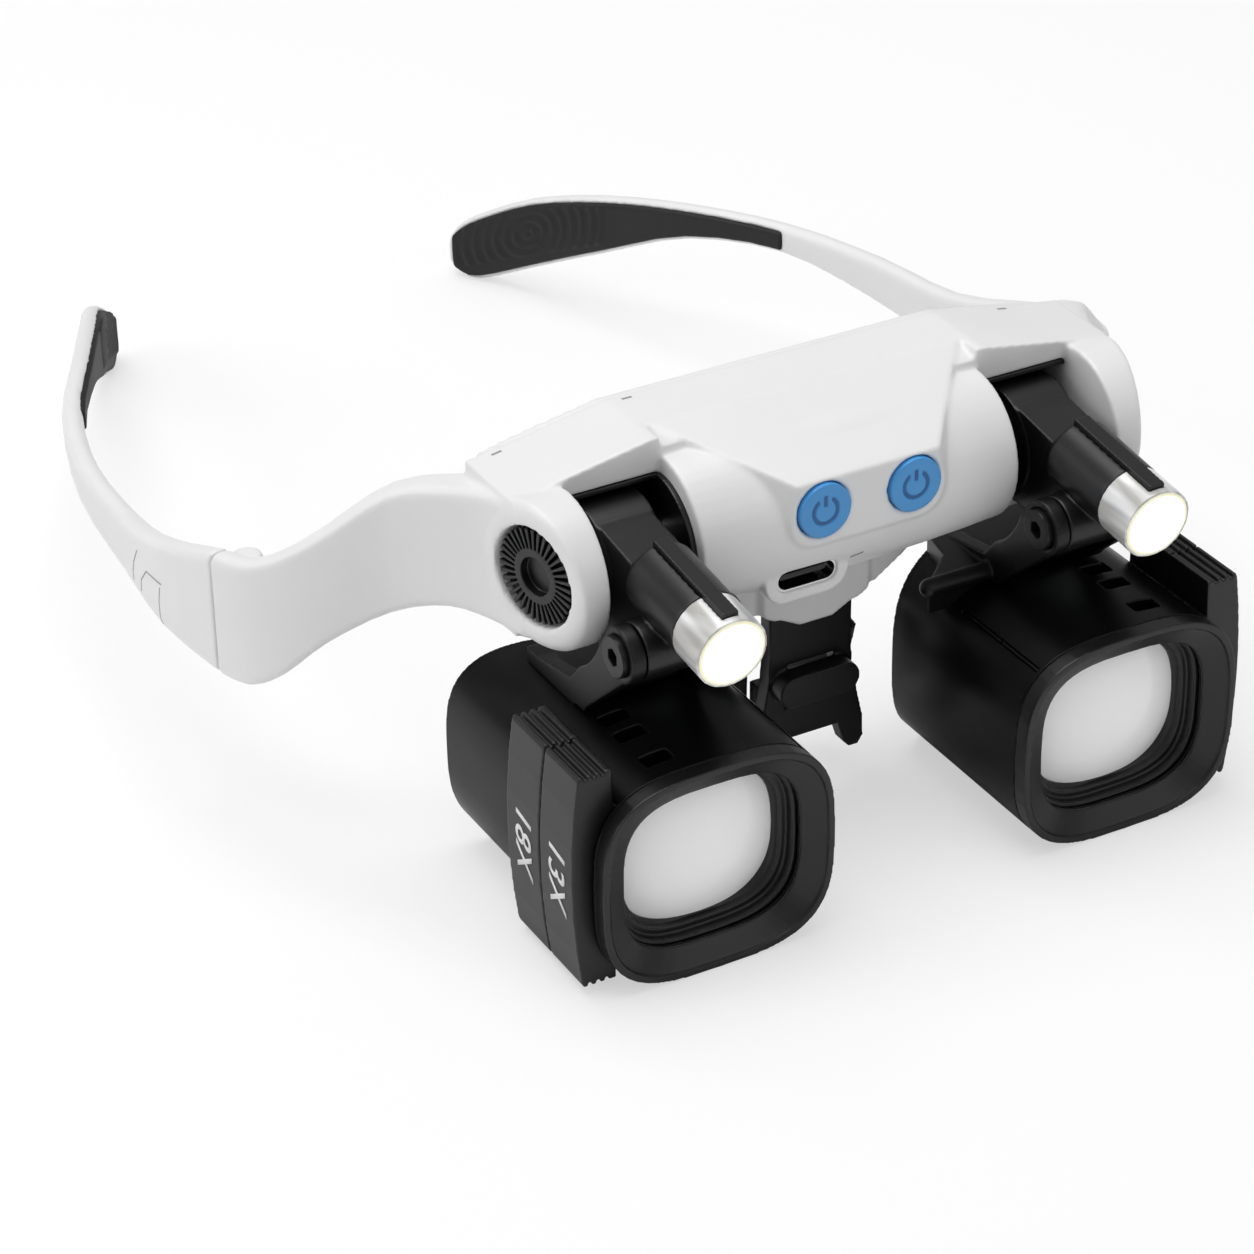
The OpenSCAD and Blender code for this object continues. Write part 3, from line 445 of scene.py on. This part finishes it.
def glowing(name, colour, strength):
    """A frosted acrylic that the diode behind it fills with light."""
    coat, tree, output = blank(name)
    shader = add(tree, "ShaderNodeBsdfPrincipled",
                 {"Base Color": linear(colour), "Roughness": 0.3, "IOR": 1.49,
                  "Emission Color": linear(colour), "Emission Strength": strength})
    tree.links.new(shader.outputs[0], output.inputs["Surface"])
    return coat


def turned(name, profile, place, coat, steps=72):
    """A shape turned about the third axis of place, from corners of (radius, depth)."""
    circle = [(math.cos(2 * math.pi * i / steps), math.sin(2 * math.pi * i / steps))
              for i in range(steps)]
    points = [place @ Vector((radius * x, radius * y, depth))
              for radius, depth in profile for x, y in circle]
    faces = [(k * steps + i, k * steps + (i + 1) % steps,
              (k + 1) * steps + (i + 1) % steps, (k + 1) * steps + i)
             for k in range(len(profile) - 1) for i in range(steps)]
    piece = solid(name, points, faces, coat)
    shaped = bmesh.new()
    shaped.from_mesh(piece.data)
    bmesh.ops.remove_doubles(shaped, verts=shaped.verts, dist=0.001 * MM)
    bmesh.ops.recalc_face_normals(shaped, faces=shaped.faces)
    shaped.to_mesh(piece.data)
    shaped.free()
    piece.data.shade_smooth()
    return piece


lit_window = glowing("lit_window", "#FFFFFA", 1.4)
warm_rim = glowing("warm_window_rim", "#EFECCB", 0.4)
lamp_tilt = math.radians(6.8)
lamp_back = Vector((0, math.cos(lamp_tilt), math.sin(lamp_tilt)))
dome = [(0, -1.05), (1, -1), (2, -0.84), (2.9, -0.6), (3.7, -0.33), (4.2, -0.1), (4.2, -0.02),
        (3.95, 0.2), (3.95, 1.6), (0, 1.6)]
rim = [(4.15, -0.12), (4.4, -0.1), (4.6, 0.02), (4.6, 0.1), (4.15, 0.1), (4.15, -0.12)]
face_from_rod = Vector((0, -30.2, 0.7)) * MM
upright = lamp_back.to_track_quat("Z", "X").to_matrix().to_4x4()
for side in SIDES:
    lamp_place = Matrix.Translation(ROD[side] + face_from_rod) @ upright
    rounded(f"lamp_head_{side}", acrylic_painted_reflections, voxel_mm=0.12, passes=3, keep=0.3)
    window = turned(f"lamp_window_{side}", [(r * MM, d * MM) for r, d in dome], lamp_place,
                    lit_window)
    adopt(window, f"lamp_lens_{side}")
    edge = turned(f"lamp_window_rim_{side}", [(r * MM, d * MM) for r, d in rim], lamp_place,
                  warm_rim)
    adopt(edge, f"lamp_lens_{side}", stands_for=False)
    dress(f"lamp_led_{side}", lit_window)

# Barrel brackets and pivot screws
# A black nylon saddle with two ears on top of each barrel, held in the lamp arm by a steel screw
# with a hexagon socket and a black oxide finish, on which the barrel tilts.
black_oxide = grained("black_oxide_steel", "#232324", 0.32, grain_mm=0.3, bump=0.05,
                      Metallic=0.6)
for side in SIDES:
    rounded(f"barrel_bracket_{side}", black_nylon, voxel_mm=0.18, passes=4, keep=0.2)
    rounded(f"pivot_screw_{side}", black_oxide, voxel_mm=0.1, passes=2, keep=0.3)

# Barrels and rims
# Rounded square tubes moulded in black ABS and polished, with a stepped rim pressed on the front.
polished_abs = grained("black_abs_polished", "#09090A", 0.32, grain_mm=0.25, bump=0.05,
                       darker=0.8, IOR=1.27)


def trued(piece, node, power=3.2, within=0.25 * MM):
    """Moves a tube's outer skin from the flats of its CAD outline to the true rounded square,
    |x|^power + |z|^power = 1, where it lies within a small distance of it."""
    low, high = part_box(node)
    middle, half = (low + high) / 2, (high - low) / 2
    for point in piece.data.vertices:
        across, above = point.co.x - middle.x, point.co.z - middle.z
        size = ((abs(across) / half.x) ** power + (abs(above) / half.z) ** power) ** (1 / power)
        outer_skin = size > 0.5 and abs(1 / size - 1) * math.hypot(across, above) < within
        if outer_skin:
            point.co.x, point.co.z = middle.x + across / size, middle.z + above / size


for side in SIDES:
    tube = rounded(f"barrel_{side}", polished_abs, voxel_mm=0.22, passes=3, keep=0.15)
    trued(tube, f"barrel_{side}")
    rounded(f"barrel_rim_{side}", black_abs, voxel_mm=0.15, passes=3, keep=0.2)

# Lens cassettes
# Black ABS mouldings with a grooved grip at both ends of the finger head, which slide into the
# bay of the barrel. The magnification is pad printed in white on the head.
white_ink = grained("white_pad_print", "#F2F2F2", 0.5, grain_mm=0.3, bump=0.05)


def characters(words, height):
    """Flat characters, leaning forward a little and centred on their own place."""
    script = bpy.data.curves.new(words, "FONT")
    script.body = words
    script.shear = 0.2
    script.align_x = "CENTER"
    script.align_y = "CENTER"
    capital_share, bolder = 0.7, 0.012
    script.size = height / capital_share
    script.offset = bolder * height
    held = bpy.data.objects.new(words, script)
    bpy.context.scene.collection.objects.link(held)
    filled = held.evaluated_get(bpy.context.evaluated_depsgraph_get())
    flat = bmesh.new()
    flat.from_mesh(bpy.data.meshes.new_from_object(filled))
    bpy.data.objects.remove(held)
    return flat


numeral_height, numeral_drop = 4.0 * MM, 0.2 * MM
for side, outward in SIDES.items():
    for times in ("18", "13"):
        node = f"cassette_{times}_{side}"
        head = rounded(node, black_abs, voxel_mm=0.16, passes=2, keep=0.2)
        low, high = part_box(node)
        centre = Vector((high.x if outward > 0 else low.x, (low.y + high.y) / 2,
                         (low.z + high.z) / 2 - numeral_drop))
        label = draped(f"numerals_{times}_{side}", characters(f"{times}X", numeral_height), head,
                       centre, -ABOVE, -BEHIND, ACROSS * outward, line_thick, white_ink)
        adopt(label, node, stands_for=False)

# Lenses
# Ground optical glass, one lens in each cassette. The photo shows each lens filled with the even
# pale grey of the white card, which a real lens bends into view. A pale haze with a little light
# of its own stands for it, under a clear coat that shines.
glass, tree, output = blank("coated_lens_glass")
shader = add(tree, "ShaderNodeBsdfPrincipled",
             {"Base Color": linear("#FFFFFF"), "Roughness": 0.12, "IOR": 1.3,
              "Transmission Weight": 0.02,
              "Emission Color": linear("#FFFFFF"), "Emission Strength": 0.1,
              "Coat Weight": 0.6, "Coat IOR": 1.4, "Coat Roughness": 0.02})
tree.links.new(shader.outputs[0], output.inputs["Surface"])
for side in SIDES:
    dress(f"lens_18_{side}", glass)
    dress(f"lens_13_{side}", glass)

# Temple arms and grips
# Springy white ABS arms, each on a steel pin in the housing's leaves, with fine lines where the
# hinge cap is let in. Black rubber with raised rings is pressed into the inner face of each end.
ridge_height, ridge_along, ridge_across = 0.35 * MM, 1.9 * MM, 1.6 * MM
ridge_reach, ridge_edge = 15 * MM, 4.3 * MM
latch = (((52.6, -19.4), (58.7, -20.5), (61.9, -23.5), (62.3, -25.5)),
         ((53.2, -20.2), (53.9, -22.7), (53.9, -24.8), (53.3, -26)),
         ((63, -19.5), (65.4, -22.5), (66.3, -24.5), (66.2, -25.8)))
latch_wide, arm_outside = 0.22 * MM, 70 * MM
grip_middle = rod_line + Vector((0, 154.5, -35.1)) * MM
grip_slope, inner_face = 0.4545, -0.5
for side, outward in SIDES.items():
    arm = rounded(f"temple_arm_{side}", white_abs, voxel_mm=0.4, passes=6, keep=0.25)
    lines = strokes([[(y * MM, z * MM) for y, z in route] for route in latch], latch_wide)
    latch_line = draped(f"hinge_cap_line_{side}", lines, arm,
                        rod_line + ACROSS * outward * arm_outside,
                        BEHIND, ABOVE, ACROSS * outward, line_thick, groove_shade)
    adopt(latch_line, f"temple_arm_{side}", stands_for=False)
    grip = rounded(f"temple_grip_{side}", rubber, voxel_mm=0.22, passes=2, keep=1.0)
    for point in grip.data.vertices:
        along = point.co.y - grip_middle.y
        across = point.co.z - grip_middle.z + grip_slope * along
        fade = min(1, max(0, (ridge_reach - abs(along)) / MM),
                   max(0, (ridge_edge - abs(across)) / (0.5 * MM)))
        if point.normal.x * outward < inner_face and fade > 0:
            turns = math.hypot(along / ridge_along, across / ridge_across)
            ring = 0.5 - 0.5 * math.cos(2 * math.pi * turns)
            point.co -= ACROSS * outward * ridge_height * fade * ring

# Picture settings
# Colours come out as they are written, and the box round the object is found.
bpy.context.scene.view_settings.view_transform = "Standard"
low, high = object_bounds()
